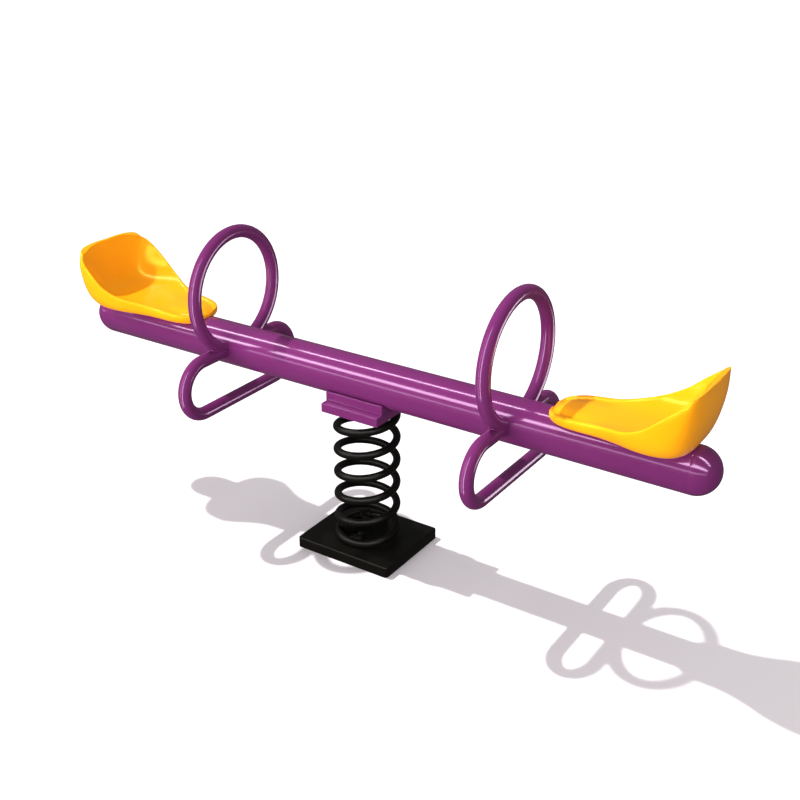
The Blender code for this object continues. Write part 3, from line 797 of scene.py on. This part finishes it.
def make_groove():
    """Solid that cuts the beam's groove into a seat."""
    clearance = BEAM_RADIUS + GAP
    rings = [[(x, y, AXIS_HEIGHT + z) for y, z in circle(clearance, BEAM_SIDES)]
             for x in (-BEAM_HALF_LENGTH, BEAM_HALF_LENGTH)]
    return new_object("groove", loft(rings), None)


def make_pocket(word):
    """Solid that cuts the seat plate's pocket into a seat."""
    low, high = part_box(f"seat_plate_{word}")
    left, right = low.x - SEAT_POCKET_MARGIN, high.x + SEAT_POCKET_MARGIN
    near, far = low.y - SEAT_POCKET_MARGIN, high.y + SEAT_POCKET_MARGIN
    outline = ((left, near), (right, near), (right, far), (left, far))
    rings = [[(x, y, z) for x, y in outline] for z in (AXIS_HEIGHT, high.z + GAP)]
    return new_object("pocket", loft(rings), None)


def make_seats():
    stations = [seat_section(index / SEAT_STATIONS) for index in range(SEAT_STATIONS + 1)]
    sections = domed_nose(stations[0]) + stations + rounded_top(stations[-1])
    for word, side in (("left", -1), ("right", 1)):
        cutters = (make_groove(), make_pocket(word))
        rings = [[(side * x, y, z) for x, y, z in ring] for ring in sections]
        seat = new_object(f"seat_shell_{word}", loft(rings), MATERIALS[YELLOW], CURVED_SMOOTH_ANGLE)
        cut(seat, cutters, CURVED_SMOOTH_ANGLE)
        for cutter in cutters:
            bpy.data.objects.remove(cutter, do_unlink=True)
        finished(seat, "beam", YELLOW, f"seat_{word}")


# Carried-over CAD nodes ----------------------------------------------------------------------


def dress_nodes():
    """The CAD nodes whose shape is right stay, with finished materials."""
    finishes = {"ground_plate": "galvanised_steel", "spacer_disc": "galvanised_steel",
                "lower_claw_bolt": BLACK, "upper_claw_bolt": BLACK,
                "seat_plate": PURPLE, "seat_bolt": "zinc_plated_steel"}
    for name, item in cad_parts.items():
        for start, finish in finishes.items():
            if name.startswith(start):
                for material_slot in item.material_slots:
                    material_slot.material = MATERIALS[finish]


# Stage, light and camera ---------------------------------------------------------------------


def make_floor():
    half = FLOOR_SIZE / 2
    mesh_edit = bmesh.new()
    corners = [mesh_edit.verts.new((x * half, y * half, -FLOOR_DROP))
               for x, y in ((-1, -1), (1, -1), (1, 1), (-1, 1))]
    mesh_edit.faces.new(corners)
    floor = new_object("floor", mesh_edit, make_floor_material())
    floor.visible_glossy = False
    floor.visible_diffuse = False
    floor.visible_shadow = False
    floor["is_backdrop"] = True


def make_sky():
    world = bpy.data.worlds.new("studio")
    world.use_nodes = True
    bpy.context.scene.world = world
    tree = world.node_tree
    background = tree.nodes["Background"]
    direction = tree.nodes.new("ShaderNodeTexCoord").outputs["Generated"]
    parts = tree.nodes.new("ShaderNodeSeparateXYZ")
    tree.links.new(direction, parts.inputs["Vector"])
    height = link_range(tree, parts.outputs["Z"], 0.0, 1.0, -1.0, 1.0)
    ramp = tree.nodes.new("ShaderNodeValToRGB")
    elements = ramp.color_ramp.elements
    while len(elements) < len(SKY_LEVELS):
        elements.new(0.5)
    for element, (place, level) in zip(elements, SKY_LEVELS):
        element.position = place
        element.color = (level, level, level, 1.0)
    tree.links.new(height, ramp.inputs["Fac"])
    tree.links.new(ramp.outputs["Color"], background.inputs["Color"])
    ray = tree.nodes.new("ShaderNodeLightPath").outputs["Is Glossy Ray"]
    tree.links.new(link_range(tree, ray, 1.0, GLOSS_SKY_STRENGTH, 0.0, 1.0),
                   background.inputs["Strength"])


def add_light(name, kind, place, towards):
    data = bpy.data.lights.new(name, kind)
    light = bpy.data.objects.new(name, data)
    bpy.context.scene.collection.objects.link(light)
    light.location = place
    light.rotation_mode = "QUATERNION"
    light.rotation_quaternion = Vector(towards).to_track_quat("-Z", "Y")
    return light


def add_panel(name, place, target, long_axis, length, width, radiance):
    """Rectangular soft box that faces a target."""
    light = add_light(name, "AREA", place, Vector(target) - Vector(place))
    back = (Vector(place) - Vector(target)).normalized()
    along = Vector(long_axis)
    along = (along - back * along.dot(back)).normalized()
    across = back.cross(along)
    light.rotation_quaternion = Matrix((along, across, back)).transposed().to_quaternion()
    light.data.shape = "RECTANGLE"
    light.data.size = length
    light.data.size_y = width
    light.data.energy = radiance * math.pi * length * width
    light.visible_camera = False
    return light


def make_receivers():
    """Collections that say which pieces a light shines on."""
    receivers = {name: bpy.data.collections.new(name) for name in ("object", "tubes", "body")}
    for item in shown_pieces():
        receivers["object"].objects.link(item)
        is_tube = item.name.startswith(("ring_", "footrest_"))
        receivers["tubes" if is_tube else "body"].objects.link(item)
    return receivers


def make_lights():
    receivers = make_receivers()
    across, down = polar(1.0, -SUN_ELEVATION)
    sun = add_light("sun", "SUN", SUN_PLACE, (across, 0.0, down))
    sun.data.energy = SUN_STRENGTH
    sun.data.angle = math.radians(SUN_ANGLE)
    sun.visible_glossy = False
    for name, elevation, width, radiance in STRIPS_ALONG_BEAM:
        towards, rise = polar(STRIP_REACH, elevation)
        strip = add_panel(name, (0.0, -towards, AXIS_HEIGHT + rise), (0.0, 0.0, AXIS_HEIGHT),
                          (1.0, 0.0, 0.0), STRIP_LENGTH, width, radiance)
        strip.visible_diffuse = False
        strip.light_linking.receiver_collection = receivers["body"]
    for name, place, length, width, radiance in RING_PANELS:
        panel = add_panel(name, place, (0.0, 0.0, place[2]), (0.0, 0.0, 1.0), length, width, radiance)
        panel.visible_diffuse = False
        panel.light_linking.receiver_collection = receivers["tubes"]
    fill = add_panel("fill", FILL_PLACE, (0.0, 0.0, AXIS_HEIGHT), (1.0, 0.0, 0.0), *FILL_SIZE,
                     FILL_RADIANCE)
    fill.visible_glossy = False
    fill.light_linking.receiver_collection = receivers["object"]


def make_camera():
    yaw, pitch, roll = (math.radians(angle) for angle in (CAMERA_YAW, CAMERA_PITCH, CAMERA_ROLL))
    forward = Vector((-math.sin(yaw) * math.cos(pitch), math.cos(yaw) * math.cos(pitch),
                      -math.sin(pitch)))
    level = Vector((math.cos(yaw), math.sin(yaw), 0.0))
    upright = level.cross(forward)
    right = level * math.cos(roll) + upright * math.sin(roll)
    up = upright * math.cos(roll) - level * math.sin(roll)
    data = bpy.data.cameras.new("camera")
    data.sensor_width = CAMERA_SENSOR
    data.lens = CAMERA_LENS
    camera = bpy.data.objects.new("camera", data)
    bpy.context.scene.collection.objects.link(camera)
    camera.matrix_world = Matrix.Translation(CAMERA_PLACE) @ Matrix(
        (right, up, -forward)).transposed().to_4x4()
    bpy.context.scene.camera = camera


make_beam()
make_frame("left")
make_frame("right")
make_bracket()
make_base()
make_spring()
make_claws()
make_seats()
dress_nodes()
make_floor()
make_sky()
make_lights()
make_camera()
bpy.context.scene.view_settings.view_transform = "Standard"
